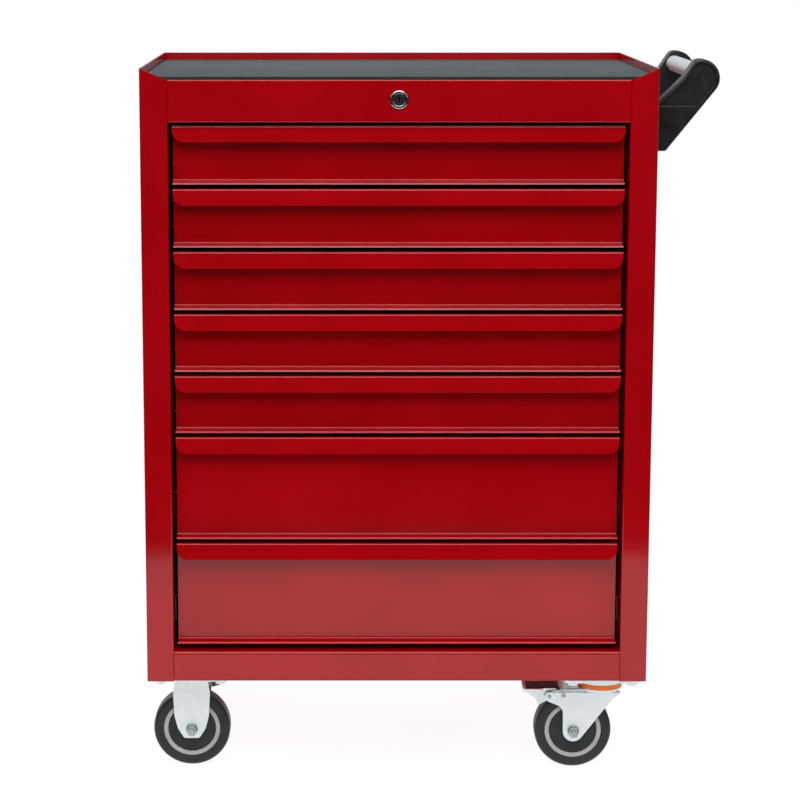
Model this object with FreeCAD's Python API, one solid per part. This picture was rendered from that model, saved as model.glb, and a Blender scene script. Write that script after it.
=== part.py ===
import FreeCAD, Part
import math
import os

# Rolling tool box: a welded sheet-steel cabinet with seven drawers, a matted top tray,
# a push handle on its right side, two fixed casters on the left and two braked swivel
# casters on the right. Millimetres. +Z is up, the drawers open towards -Y, and the
# handle is on the +X side. Everything is drawn about the middle of the cabinet at
# floor level, and export() moves it so that the origin is the middle of the
# bounding box's bottom face.

# Cabinet
BODY_WIDTH = 670.0
BODY_DEPTH = 460.0
POST_BOTTOM = 130.0
RIM_TOP = 948.0
TOP_LEVEL = 933.5
SHEET = 0.8
BEND = 1.5
FIT = 0.4
POST_WIDTH = 36.0
RETURN_DEPTH = 32.0
RETURN_LIP = 12.0
RAIL_TOP = 171.5
PAN_BEND = 3.6
OPENING_TOP = 878.5
HEM_THICKNESS = 1.4
HEM_DEPTH = 12.5
SIDE_FLANGE = 115.0
FLANGE_SETBACK = 8.0
BACK_FLANGE = 20.0
BASE_BACK_LIP = 30.0
MAT_THICKNESS = 4.5
MAT_SETBACK = 2.0

# Drawers, from the top down
SMALL_DRAWERS = 5
LARGE_DRAWERS = 2
SMALL_FRONT = 76.6
LARGE_FRONT = 138.6
DRAWER_GAP = 5.7
TOP_GAP = 4.2
FRONT_WIDTH = 587.6
FRONT_BEND = 2.2
LIP_RECESS = 8.0
LIP_HEIGHT = 21.6
LIP_FLARE = 4.0
LIP_CORNER = 15.0
PULL_DEPTH = 15.0
LEDGE_DROP = 1.2
LEDGE_EDGE = 2.4
LEDGE_FLARE = 0.9
TRAY_WIDTH = 570.0
TRAY_BACK = 185.0
TRAY_DROP = 14.0
TRAY_RISE = 5.3
TRAY_HEM = 8.0

# Drawer slides: two nested channels a side
SLIDE_SHEET = 1.0
SLIDE_AXIS = 40.0
OUTER_HEIGHT = 35.0
OUTER_DEPTH = 10.0
INNER_HEIGHT = 25.2
INNER_DEPTH = 9.0
SLIDE_FRONT = -184.0
SLIDE_BACK = 184.0
UPRIGHT_WIDTH = 30.0
REAR_UPRIGHT_Y = 105.0

# Lock
LOCK_Z = 908.0
BEZEL_RADIUS = 12.0
BEZEL_DEPTH = 3.0
BARREL_RADIUS = 8.0
BARREL_TAIL = 20.8
RUNNING = 0.05
HOUSING_RADIUS = 9.5
HOUSING_LENGTH = 19.2
HOUSING_NUT = 3.2
KEYWAY_WIDTH = 1.8
KEYWAY_HEIGHT = 9.0
KEYWAY_DEPTH = 8.0
KEY_SLOT_WIDTH = 4.4
KEY_SLOT_DEPTH = 1.2
SHAFT_RADIUS = 3.0
CRANK_THROW = 8.0
CRANK_THICKNESS = 3.0
CRANK_HUB_RADIUS = 5.0
CRANK_TIP_RADIUS = 4.0
CRANK_PIN_RADIUS = 2.0
SLOT_PLAY = 0.6
BAR_HALF_WIDTH = 15.0
BAR_Y = 192.0
BAR_SHEET = 2.0
BAR_PLAY = 2.0
HOOK_HALF_WIDTH = 8.0
HOOK_REST_GAP = 2.5
HOOK_LENGTH = 10.5
HOOK_REACH = 16.0
GUIDED_DRAWERS = (2, 5, 7)
GUIDE_LIFT = 45.0
GUIDE_HEIGHT = 14.0
GUIDE_HALF_WIDTH = 19.0
GUIDE_WALL = 2.0

# Handle
HANDLE_LENGTH = 280.0
BRACKET_THICKNESS = 30.0
HEAD_REACH = 66.6
HEAD_Z = 930.5
HEAD_RADIUS = 25.0
BRACKET_FOOT_Z = 834.0
BRACKET_FOOT_WIDTH = 21.6
BRACKET_TOP_Z = 889.0
BRACKET_NECK_Z = 931.0
BRACKET_NECK_REACH = 43.0
BRACKET_CREST_REACH = 59.4
RECESS_Z = 893.5
RECESS_BORDER = 5.0
RECESS_DEPTH = 3.0
TUBE_RADIUS = 11.0
TUBE_REACH = 63.5
TUBE_Z = 938.0
TUBE_WALL = 1.5
SOCKET_DEPTH = 10.0
BRACKET_FOOT_CORNER = 4.0
BRACKET_NECK_CORNER = 15.0
BRACKET_CREST_CORNER = 12.0
BRACKET_ROUNDING = 3.0
HANDLE_SCREW_HEIGHTS = (847.0, 874.0)
HANDLE_SCREW_RADIUS = 3.0
HANDLE_SCREW_LENGTH = 16.0
HANDLE_SCREW_HEAD = 4.0

# Casters
CASTER_X = 278.0
FIXED_CASTER_Y = 176.0
SWIVEL_CASTER_Y = 184.0
PLATE_X = 105.0
PLATE_Y = 85.0
PLATE_CORNER = 8.0
PLATE_THICKNESS = 4.0
HOLES_X = 80.0
HOLES_Y = 60.0
BOLT_RADIUS = 4.0
BOLT_HOLE = 4.5
BOLT_FLATS = 13.0
BOLT_HEAD = 5.3
NUT_HEIGHT = 6.5
THREAD_END = 2.5
WASHER_RADIUS = 8.0
WASHER_THICKNESS = 1.5
WHEEL_RADIUS = 52.0
WHEEL_WIDTH = 32.0
TREAD_CORNER = 6.0
RIM_RADIUS = 38.5
DISC_RADIUS = 32.5
DISC_SINK = 2.0
HUB_RADIUS = 11.0
AXLE_RADIUS = 4.0
LEG_INNER = 18.5
LEG_SHEET = 3.0
LEG_BEND = 4.5
TRAIL = 37.5
CROWN_TOP = 112.0
CROWN_THICKNESS = 3.5
CROWN_RADIUS = 30.0
DISH_RADIUS = 31.0
SEAL_TOP = 118.9
DISH_BOTTOM = 119.2
KING_PIN_RADIUS = 6.0
KING_PIN_LOW = 100.0
KING_HEAD_RADIUS = 10.0
KING_HEAD_LOW = 102.0
BOSS_RADIUS = 14.0
FORK_LEAN = 53.3
PEDAL_PIVOT_X = -70.3
PEDAL_PIVOT_RISE = 49.0
PEDAL_PIN_RADIUS = 2.5
PEDAL_TOP = 111.5
PEDAL_SHEET = 2.5
PEDAL_REACH = 106.0
PEDAL_HALF_WIDTH = 22.0
PEDAL_NECK_HALF_WIDTH = 17.5
PEDAL_NECK_X = -79.0
PEDAL_HEEL_X = -61.0
PEDAL_CORNER = 6.0
PEDAL_LIP = 4.0
PEDAL_GAP_X = -56.0
CHEEK_OUTER = 16.0

# Side outlines of the casters, as (x, height over the axle, corner radius)
FIXED_LEG_SIDE = (
    (10.2, -12.0, 4),
    (18.6, 1.0, 20),
    (23.5, 19.0, 40),
    (25.0, 50.0, 30),
    (21.5, 74.0, 0),
)
SWIVEL_LEG_FRONT = ((21.0, 60.0, 0), (27.0, 55.0, 3), (14.0, 44.5, 25))
SWIVEL_LEG_ARM = (
    (-52.0, 34.0, 12),
    (-72.0, 42.0, 4),
    (-78.0, 48.0, 4),
    (-73.0, 55.0, 4),
    (-50.0, 60.0, 0),
)
PEDAL_CHEEK_SIDE = ((-84.0, 42.0, 6), (-78.0, 40.0, 3), (-65.0, 45.0, 4))
BRAKE_SHOE_SIDE = ((-86.0, 34.0, 1), (-76.0, 40.0, 1), (-76.0, 44.0, 1), (-86.0, 44.0, 1))
SHOE_TIE_SIDE = ((-86.0, 40.0, 0), (-78.0, 40.0, 0), (-78.0, 47.0, 0), (-86.0, 47.0, 0))

# Worked out from the above
SIDE_X = BODY_WIDTH / 2
FRONT_Y = -BODY_DEPTH / 2
BACK_Y = BODY_DEPTH / 2
OPENING_X = SIDE_X - POST_WIDTH
INNER_X = SIDE_X - SHEET - FIT
BACK_FACE = BACK_Y - SHEET - FIT
FLANGE_TOP = POST_BOTTOM + SHEET
LIP_Y = FRONT_Y + LIP_RECESS
PANEL_Y = LIP_Y + PULL_DEPTH
PANEL_BACK = PANEL_Y + SHEET
HANDLE_REACH = HEAD_REACH + HEAD_RADIUS
PLATE_BOTTOM = POST_BOTTOM - PLATE_THICKNESS
LEG_OUTER = LEG_INNER + LEG_SHEET
PEDAL_PIVOT_Z = WHEEL_RADIUS + PEDAL_PIVOT_RISE
ORIGIN_SHIFT = FreeCAD.Vector(-HANDLE_REACH / 2, BEZEL_DEPTH / 2, 0)
X_AXIS = FreeCAD.Vector(1, 0, 0)
Y_AXIS = FreeCAD.Vector(0, 1, 0)
Z_AXIS = FreeCAD.Vector(0, 0, 1)
CENTRE = FreeCAD.Vector(0, 0, 0)


# ---------------------------------------------------------------- shape helpers

def box(x0, x1, y0, y1, z0, z1):
    """A box between two values on each axis."""
    return Part.makeBox(x1 - x0, y1 - y0, z1 - z0, FreeCAD.Vector(x0, y0, z0))


def rod(radius, start, end):
    """A round bar between two points."""
    along = end - start
    return Part.makeCylinder(radius, along.Length, start, along)


def rod_y(radius, x, z, y0, y1):
    """A round bar along Y."""
    return rod(radius, FreeCAD.Vector(x, y0, z), FreeCAD.Vector(x, y1, z))


def rod_z(radius, x, y, z0, z1):
    """A round bar along Z."""
    return rod(radius, FreeCAD.Vector(x, y, z0), FreeCAD.Vector(x, y, z1))


def hexagon(across_flats, start, end):
    """A hexagonal bar between two points, for bolt heads and nuts."""
    along = end - start
    side = along.cross(Z_AXIS)
    if side.Length < FIT * along.Length:
        side = along.cross(X_AXIS)
    side.normalize()
    up = side.cross(along)
    up.normalize()
    reach = across_flats / math.sqrt(3)
    corners = []
    for step in range(7):
        angle = math.radians(60 * step)
        corners.append(start + side * (reach * math.cos(angle)) + up * (reach * math.sin(angle)))
    return Part.Face(Part.makePolygon(corners)).extrude(along)


def joined(shapes):
    """One solid out of several that touch or overlap."""
    whole = shapes[0].fuse(shapes[1:]) if len(shapes) > 1 else shapes[0]
    return whole.removeSplitter()


def mirrored_x(shape):
    """The same shape on the other side of the YZ plane."""
    return shape.mirror(CENTRE, X_AXIS)


def mirrored_y(shape):
    """The same shape on the other side of the XZ plane."""
    return shape.mirror(CENTRE, Y_AXIS)


def moved(shape, x, y, z):
    """A copy of a shape, shifted."""
    copy = shape.copy()
    copy.translate(FreeCAD.Vector(x, y, z))
    return copy


def direction(start, end):
    """Unit vector from one point to another."""
    return (end - start).normalize()


def corner_arc(before, corner, after, radius):
    """Start, middle and end of the arc of that radius that rounds a corner."""
    back = direction(corner, before)
    ahead = direction(corner, after)
    half_angle = back.getAngle(ahead) / 2
    run = radius / math.tan(half_angle)
    middle_gap = radius / math.sin(half_angle) - radius
    middle = corner + (back + ahead).normalize() * middle_gap
    return corner + back * run, middle, corner + ahead * run


def add_line(edges, start, end):
    """Adds a straight edge unless it has no length."""
    if (end - start).Length > 1e-6:
        edges.append(Part.LineSegment(start, end).toShape())


def rounded_face(corners):
    """A flat face round a list of (point, corner radius)."""
    count = len(corners)
    bends = []
    for index, (corner, radius) in enumerate(corners):
        before = corners[index - 1][0]
        after = corners[(index + 1) % count][0]
        if radius > 0:
            bends.append(corner_arc(before, corner, after, radius))
        else:
            bends.append((corner, None, corner))
    edges = []
    for index, (start, middle, end) in enumerate(bends):
        add_line(edges, bends[index - 1][2], start)
        if middle is not None:
            edges.append(Part.Arc(start, middle, end).toShape())
    return Part.Face(Part.Wire(Part.__sortEdges__(edges)))


def sheet_side(points, offset, normal, radius):
    """One skin of a folded sheet: its path moved sideways by offset, with round bends."""
    sides = []
    for index in range(len(points) - 1):
        sides.append(normal.cross(direction(points[index], points[index + 1])))
    edges = []
    last = points[0] + sides[0] * offset
    for index in range(1, len(points) - 1):
        start, middle, end = corner_arc(points[index - 1], points[index], points[index + 1], radius)
        bend_side = (sides[index - 1] + sides[index]).normalize()
        start = start + sides[index - 1] * offset
        middle = middle + bend_side * offset
        end = end + sides[index] * offset
        add_line(edges, last, start)
        edges.append(Part.Arc(start, middle, end).toShape())
        last = end
    finish = points[-1] + sides[-1] * offset
    add_line(edges, last, finish)
    return edges, finish


def folded_sheet(points, normal, length, thickness=SHEET, radius=BEND):
    """A sheet folded along the path of its middle surface and run along normal."""
    left, left_end = sheet_side(points, thickness / 2, normal, radius)
    right, right_end = sheet_side(points, -thickness / 2, normal, radius)
    first = direction(points[0], points[1])
    left_start = points[0] + normal.cross(first) * (thickness / 2)
    right_start = points[0] - normal.cross(first) * (thickness / 2)
    edges = left + right
    add_line(edges, left_end, right_end)
    add_line(edges, right_start, left_start)
    face = Part.Face(Part.Wire(Part.__sortEdges__(edges)))
    return face.extrude(normal * length)


def profile_yz(pairs, half_width, thickness=SHEET, radius=BEND):
    """A sheet folded in the YZ plane that runs across the cabinet."""
    points = [FreeCAD.Vector(-half_width, y, z) for y, z in pairs]
    return folded_sheet(points, X_AXIS, 2 * half_width, thickness, radius)


def profile_xy(pairs, z0, z1, thickness=SHEET, radius=BEND):
    """A sheet folded in the XY plane that runs upwards."""
    points = [FreeCAD.Vector(x, y, z0) for x, y in pairs]
    return folded_sheet(points, Z_AXIS, z1 - z0, thickness, radius)


def profile_xz(pairs, y0, y1, thickness=SHEET, radius=BEND):
    """A sheet folded in the XZ plane that runs back to front."""
    points = [FreeCAD.Vector(x, y0, z) for x, z in pairs]
    return folded_sheet(points, Y_AXIS, y1 - y0, thickness, radius)


def plate_xz(corners, y0, y1):
    """A flat plate in the XZ plane, from (x, z, corner radius)."""
    face = rounded_face([(FreeCAD.Vector(x, y0, z), radius) for x, z, radius in corners])
    return face.extrude(Y_AXIS * (y1 - y0))


def plate_xy(corners, z0, z1):
    """A flat plate in the XY plane, from (x, y, corner radius)."""
    face = rounded_face([(FreeCAD.Vector(x, y, z0), radius) for x, y, radius in corners])
    return face.extrude(Z_AXIS * (z1 - z0))


# ---------------------------------------------------------------- cabinet

def caster_centres():
    """Where the four casters are bolted on, left ones first."""
    centres = []
    for x, y in ((-CASTER_X, FIXED_CASTER_Y), (CASTER_X, SWIVEL_CASTER_Y)):
        centres += [(x, -y), (x, y)]
    return centres


def caster_holes():
    """The centres of the sixteen bolts that hold the casters."""
    holes = []
    for x, y in caster_centres():
        for side in (-1, 1):
            for end in (-1, 1):
                holes.append((x + side * HOLES_X / 2, y + end * HOLES_Y / 2))
    return holes


def with_caster_holes(shape, z0, z1):
    """The shape with the caster bolt holes drilled through it."""
    drills = [rod_z(BOLT_HOLE, x, y, z0, z1) for x, y in caster_holes()]
    return shape.cut(drills)


def side_panel():
    """A side: post, panel and back flange in one sheet, with a hemmed top rim, drawn for the right."""
    half = SHEET / 2
    path = [
        (OPENING_X + half, FRONT_Y + RETURN_DEPTH),
        (OPENING_X + half, FRONT_Y + half),
        (SIDE_X - half, FRONT_Y + half),
        (SIDE_X - half, BACK_Y - half),
        (SIDE_X - BACK_FLANGE, BACK_Y - half),
    ]
    shell = profile_xy(path, POST_BOTTOM, RIM_TOP)
    hem_x = SIDE_X - SHEET - HEM_THICKNESS
    hem = box(hem_x, SIDE_X - half, FRONT_Y + half, BACK_Y - half, RIM_TOP - HEM_DEPTH, RIM_TOP)
    flange_x = SIDE_X - SIDE_FLANGE
    flange = box(
        flange_x, SIDE_X - half, FRONT_Y + FLANGE_SETBACK, BACK_Y - half, POST_BOTTOM, FLANGE_TOP
    )
    post_floor = box(
        OPENING_X + half, SIDE_X - half, FRONT_Y + half, FRONT_Y + RETURN_DEPTH, POST_BOTTOM, FLANGE_TOP
    )
    panel = joined([shell, hem, flange, post_floor])
    slope = [
        (OPENING_X - BEND, TOP_LEVEL - SHEET, 0),
        (OPENING_X, TOP_LEVEL - SHEET, 0),
        (SIDE_X, RIM_TOP, 0),
        (SIDE_X, RIM_TOP + SHEET, 0),
        (OPENING_X - BEND, RIM_TOP + SHEET, 0),
    ]
    slope_cut = plate_xz(slope, FRONT_Y - SHEET, FRONT_Y + SHEET + FIT)
    return_cut = box(
        OPENING_X - SHEET,
        OPENING_X + 2 * BEND,
        FRONT_Y,
        FRONT_Y + RETURN_DEPTH + SHEET,
        TOP_LEVEL - SHEET - FIT,
        RIM_TOP + SHEET,
    )
    return panel.cut([slope_cut, return_cut])


def handle_screw_places():
    """Where the handle is screwed on, as (y, z)."""
    middle = HANDLE_LENGTH / 2 - BRACKET_THICKNESS / 2
    return [(end * middle, z) for end in (-1, 1) for z in HANDLE_SCREW_HEIGHTS]


def left_side_panel():
    """The side over the fixed casters."""
    return with_caster_holes(mirrored_x(side_panel()), POST_BOTTOM - SHEET, FLANGE_TOP + SHEET)


def right_side_panel():
    """The side that carries the handle, over the swivel casters."""
    drills = []
    for y, z in handle_screw_places():
        start = FreeCAD.Vector(SIDE_X - 2 * SHEET, y, z)
        drills.append(rod(HANDLE_SCREW_RADIUS + FIT / 2, start, start + X_AXIS * 3 * SHEET))
    panel = side_panel().cut(drills)
    return with_caster_holes(panel, POST_BOTTOM - SHEET, FLANGE_TOP + SHEET)


def back_panel():
    """Back skin, with a hemmed rim that stands above the top tray."""
    skin = box(-INNER_X, INNER_X, BACK_FACE - SHEET, BACK_FACE, FLANGE_TOP + SHEET + FIT, RIM_TOP)
    rim_x = INNER_X - HEM_THICKNESS - FIT
    rim_y = BACK_FACE - SHEET - HEM_THICKNESS
    hem = box(-rim_x, rim_x, rim_y, BACK_FACE, RIM_TOP - HEM_DEPTH, RIM_TOP)
    rim_gap = box(rim_x, SIDE_X, rim_y, BACK_FACE, TOP_LEVEL + SHEET, RIM_TOP + SHEET)
    side_clearance = [rim_gap, mirrored_x(rim_gap)]
    return joined([skin, hem]).cut(side_clearance)


def top_panel():
    """Top tray floor, folded down at the front into the lock fascia."""
    half = SHEET / 2
    inner_end = FRONT_Y + RETURN_DEPTH - half
    path = [
        (inner_end, OPENING_TOP + RETURN_LIP),
        (inner_end, OPENING_TOP + half),
        (FRONT_Y + half, OPENING_TOP + half),
        (FRONT_Y + half, TOP_LEVEL - half),
        (BACK_FACE - SHEET - FIT, TOP_LEVEL - half),
    ]
    fascia = profile_yz(path, OPENING_X - FIT / 2)
    floor = box(
        -INNER_X,
        INNER_X,
        FRONT_Y + SHEET + FIT,
        BACK_FACE - SHEET - FIT,
        TOP_LEVEL - SHEET,
        TOP_LEVEL,
    )
    lock_hole = rod_y(HOUSING_RADIUS + FIT / 2, 0, LOCK_Z, FRONT_Y - SHEET, FRONT_Y + 2 * SHEET)
    return joined([fascia, floor]).cut(lock_hole)


def base_panel():
    """Bottom pan, folded up at the front into the base rail."""
    half = SHEET / 2
    inner_end = FRONT_Y + RETURN_DEPTH - half
    back_lip = BACK_FACE - SHEET - FIT - half
    floor_z = FLANGE_TOP + half
    path = [
        (inner_end, RAIL_TOP - RETURN_LIP),
        (inner_end, RAIL_TOP - half),
        (FRONT_Y + half, RAIL_TOP - half),
        (FRONT_Y + half, floor_z),
        (back_lip, floor_z),
        (back_lip, floor_z + BASE_BACK_LIP),
    ]
    pan = profile_yz(path, OPENING_X - FIT / 2, SHEET, PAN_BEND)
    floor = box(
        -INNER_X, INNER_X, FRONT_Y + SHEET + FIT, back_lip - half, FLANGE_TOP, FLANGE_TOP + SHEET
    )
    slot = box(
        OPENING_X - FIT / 2,
        OPENING_X + SHEET + FIT / 2,
        FRONT_Y,
        FRONT_Y + RETURN_DEPTH + FIT,
        POST_BOTTOM,
        FLANGE_TOP + 2 * SHEET,
    )
    floor = floor.cut([slot, mirrored_x(slot)])
    return with_caster_holes(joined([pan, floor]), POST_BOTTOM, FLANGE_TOP + 2 * SHEET)


def slide_uprights():
    """Four channels that carry the drawer slides, two a side."""
    half = SHEET / 2
    low = FLANGE_TOP + SHEET
    high = TOP_LEVEL - SHEET
    uprights = []
    for y in (FRONT_Y + RETURN_DEPTH + 2 * SHEET, REAR_UPRIGHT_Y):
        path = [
            (SIDE_X - SHEET, y + half),
            (OPENING_X + half, y + half),
            (OPENING_X + half, y + UPRIGHT_WIDTH - half),
            (SIDE_X - SHEET, y + UPRIGHT_WIDTH - half),
        ]
        upright = profile_xy(path, low, high)
        uprights += [upright, mirrored_x(upright)]
    return Part.makeCompound(uprights)


def top_mat():
    """The rubber mat that lies in the top tray."""
    half_width = SIDE_X - SHEET - HEM_THICKNESS - 2 * FIT
    front = FRONT_Y + MAT_SETBACK
    back = BACK_FACE - SHEET - HEM_THICKNESS - 2 * FIT
    mat = box(-half_width, half_width, front, back, TOP_LEVEL, TOP_LEVEL + MAT_THICKNESS)
    upper = [edge for edge in mat.Edges if edge.BoundBox.ZMin > TOP_LEVEL + SHEET]
    return mat.makeFillet(2 * FIT, upper)


# ---------------------------------------------------------------- drawers

def drawer_fronts():
    """Top and bottom height of each drawer front, from the top drawer down."""
    heights = [SMALL_FRONT] * SMALL_DRAWERS + [LARGE_FRONT] * LARGE_DRAWERS
    top = OPENING_TOP - TOP_GAP
    places = []
    for height in heights:
        places.append((top, top - height))
        top -= height + DRAWER_GAP
    return places


def lip_corner_cut(top):
    """What is taken off one lower corner of a pull lip to round it."""
    x1 = FRONT_WIDTH / 2
    x0 = x1 - LIP_CORNER
    z0 = top - LIP_HEIGHT
    front = LIP_Y - LIP_FLARE - SHEET
    back = LIP_Y + 2 * SHEET
    block = box(x0, x1 + SHEET, front, back, z0 - SHEET, z0 + LIP_CORNER)
    keep = rod_y(LIP_CORNER, x0, z0 + LIP_CORNER, front - SHEET, back + SHEET)
    return block.cut(keep)


def drawer_front(top, bottom):
    """Front sheet: a flared pull lip folded over the recessed panel, and a ledge at its foot."""
    half = SHEET / 2
    path = [
        (LIP_Y + half - LIP_FLARE, top - LIP_HEIGHT),
        (LIP_Y + half, top - half),
        (PANEL_Y + half, top - half),
        (PANEL_Y + half, bottom + LEDGE_EDGE + LEDGE_DROP),
        (LIP_Y + half, bottom + LEDGE_EDGE),
        (LIP_Y + half - LEDGE_FLARE, bottom),
    ]
    front = profile_yz(path, FRONT_WIDTH / 2, SHEET, FRONT_BEND)
    cut = lip_corner_cut(top)
    return front.cut([cut, mirrored_x(cut)])


def drawer_tray(top, bottom):
    """The open box behind a drawer front, with hemmed side and back walls."""
    x = TRAY_WIDTH / 2
    z0 = bottom + TRAY_RISE
    z1 = top - TRAY_DROP
    outside = box(-x, x, PANEL_BACK, TRAY_BACK, z0, z1)
    inside = box(
        -x + SHEET, x - SHEET, PANEL_BACK + SHEET, TRAY_BACK - SHEET, z0 + SHEET, z1 + SHEET
    )
    hem_x = x - 2 * SHEET
    hem_ring = box(-x + SHEET, x - SHEET, PANEL_BACK + SHEET, TRAY_BACK - SHEET, z1 - TRAY_HEM, z1)
    hem_hole = box(
        -hem_x,
        hem_x,
        PANEL_BACK + SHEET,
        TRAY_BACK - 2 * SHEET,
        z1 - TRAY_HEM - SHEET,
        z1 + SHEET,
    )
    return joined([outside.cut(inside), hem_ring.cut(hem_hole)])


def inner_slides(bottom):
    """The pair of slide channels fixed to a tray's walls."""
    half = SLIDE_SHEET / 2
    x = TRAY_WIDTH / 2
    z = bottom + SLIDE_AXIS
    reach = INNER_HEIGHT / 2 - half
    path = [
        (x + INNER_DEPTH, z + reach),
        (x + half, z + reach),
        (x + half, z - reach),
        (x + INNER_DEPTH, z - reach),
    ]
    channel = profile_xz(path, SLIDE_FRONT, TRAY_BACK, SLIDE_SHEET)
    return Part.makeCompound([channel, mirrored_x(channel)])


def outer_slides():
    """The fourteen slide channels fixed to the uprights."""
    half = SLIDE_SHEET / 2
    x = OPENING_X
    reach = OUTER_HEIGHT / 2 - half
    channels = []
    for _, bottom in drawer_fronts():
        z = bottom + SLIDE_AXIS
        path = [
            (x - OUTER_DEPTH, z + reach),
            (x - half, z + reach),
            (x - half, z - reach),
            (x - OUTER_DEPTH, z - reach),
        ]
        channel = profile_xz(path, SLIDE_FRONT, SLIDE_BACK, SLIDE_SHEET)
        channels += [channel, mirrored_x(channel)]
    return Part.makeCompound(channels)


# ---------------------------------------------------------------- lock

def lock_bezel():
    """Chromed ring with the threaded housing and its nut, fixed in the fascia."""
    ring = rod_y(BEZEL_RADIUS, 0, LOCK_Z, FRONT_Y - BEZEL_DEPTH, FRONT_Y)
    outer_edge = [
        edge for edge in ring.Edges
        if edge.BoundBox.YMax < FRONT_Y - BEZEL_DEPTH / 2 and edge.BoundBox.ZLength > 1
    ]
    ring = ring.makeFillet(BEZEL_DEPTH / 2, outer_edge)
    housing = rod_y(HOUSING_RADIUS, 0, LOCK_Z, FRONT_Y - SHEET, FRONT_Y + HOUSING_LENGTH)
    nut_front = FreeCAD.Vector(0, FRONT_Y + SHEET, LOCK_Z)
    nut = hexagon(2 * BEZEL_RADIUS, nut_front, nut_front + Y_AXIS * HOUSING_NUT)
    bore = rod_y(
        BARREL_RADIUS + RUNNING, 0, LOCK_Z, FRONT_Y - 2 * BEZEL_DEPTH, FRONT_Y + 2 * HOUSING_LENGTH
    )
    return joined([ring, housing, nut]).cut(bore)


def lock_barrel():
    """The turning cylinder, with its keyway."""
    front = FRONT_Y - BEZEL_DEPTH + 2 * FIT
    body = rod_y(BARREL_RADIUS, 0, LOCK_Z, front, FRONT_Y + BARREL_TAIL)
    half_width = KEYWAY_WIDTH / 2
    half_height = KEYWAY_HEIGHT / 2
    keyway = box(
        -half_width,
        half_width,
        front - SHEET,
        front + KEYWAY_DEPTH,
        LOCK_Z - half_height,
        LOCK_Z + half_height,
    )
    half_slot = KEY_SLOT_WIDTH / 2
    cross_slot = box(
        -half_slot,
        half_slot,
        front - SHEET,
        front + KEY_SLOT_DEPTH,
        LOCK_Z - half_width,
        LOCK_Z + half_width,
    )
    return body.cut([keyway, cross_slot])


def crank_pin_place():
    """Height and side offset of the crank pin from the lock's axis with the lock open."""
    return CRANK_THROW * math.sqrt(0.5)


def lock_shaft():
    """Rod from the barrel to the back of the cabinet, with the crank that moves the lock bar."""
    crank_back = BAR_Y - BAR_PLAY
    crank_front = crank_back - CRANK_THICKNESS
    offset = crank_pin_place()
    tip_z = LOCK_Z + offset
    shaft = rod_y(SHAFT_RADIUS, 0, LOCK_Z, FRONT_Y + BARREL_TAIL, crank_back)
    hub = rod_y(CRANK_HUB_RADIUS, 0, LOCK_Z, crank_front, crank_back)
    knuckle = rod_y(CRANK_TIP_RADIUS, offset, tip_z, crank_front, crank_back)
    arm = box(0, CRANK_THROW, crank_front, crank_back, -CRANK_TIP_RADIUS, CRANK_TIP_RADIUS)
    arm.rotate(CENTRE, Y_AXIS, -45)
    arm.translate(FreeCAD.Vector(0, 0, LOCK_Z))
    pin = rod_y(CRANK_PIN_RADIUS, offset, tip_z, crank_back - SHEET, BAR_Y + 2 * BAR_SHEET)
    return joined([shaft, hub, knuckle, arm, pin])


def lock_hook(tray_top):
    """A hook welded to the lock bar's front, over the back wall of one tray."""
    low = tray_top + HOOK_REST_GAP
    arm_z = low + HOOK_LENGTH
    front = BAR_Y - HOOK_REACH
    wide = HOOK_HALF_WIDTH
    arm = box(-wide, wide, front, BAR_Y, arm_z, arm_z + BAR_SHEET)
    tip = box(-wide, wide, front, front + BAR_SHEET, low, arm_z + BAR_SHEET)
    return joined([arm, tip])


def lock_bar():
    """The upright bar that drops its hooks behind every tray's back wall when locked."""
    offset = crank_pin_place()
    slot_z = LOCK_Z + offset
    slot_radius = CRANK_PIN_RADIUS + SLOT_PLAY
    top = slot_z + 4 * slot_radius
    low = drawer_fronts()[-1][1] + LARGE_FRONT / 2
    strip = box(-BAR_HALF_WIDTH, BAR_HALF_WIDTH, BAR_Y, BAR_Y + BAR_SHEET, low, top)
    end_radius = slot_radius - RUNNING
    near_x = offset - slot_radius
    far_x = CRANK_THROW + slot_radius
    slot = plate_xz(
        [
            (near_x, slot_z - slot_radius, end_radius),
            (far_x, slot_z - slot_radius, end_radius),
            (far_x, slot_z + slot_radius, end_radius),
            (near_x, slot_z + slot_radius, end_radius),
        ],
        BAR_Y - SHEET,
        BAR_Y + BAR_SHEET + SHEET,
    )
    hooks = [lock_hook(front_top - TRAY_DROP) for front_top, _ in drawer_fronts()]
    return Part.makeCompound([strip.cut(slot)] + hooks)


def lock_bar_guides():
    """Three brackets on the back panel that the lock bar runs in."""
    fronts = drawer_fronts()
    front = BAR_Y - BAR_SHEET - FIT
    back = BACK_FACE - SHEET
    wide = GUIDE_HALF_WIDTH
    hollow_wide = wide - GUIDE_WALL
    guides = []
    for number in GUIDED_DRAWERS:
        low = fronts[number - 1][0] - TRAY_DROP + GUIDE_LIFT - GUIDE_HEIGHT / 2
        high = low + GUIDE_HEIGHT
        block = box(-wide, wide, front, back, low, high)
        bar_way = box(
            -BAR_HALF_WIDTH - FIT,
            BAR_HALF_WIDTH + FIT,
            BAR_Y - FIT,
            BAR_Y + BAR_SHEET + FIT,
            low - SHEET,
            high + SHEET,
        )
        hollow = box(
            -hollow_wide,
            hollow_wide,
            BAR_Y + 2 * BAR_SHEET + FIT,
            back - GUIDE_WALL,
            low - SHEET,
            high + SHEET,
        )
        guides.append(block.cut([bar_way, hollow]))
    return Part.makeCompound(guides)


# ---------------------------------------------------------------- handle

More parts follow.
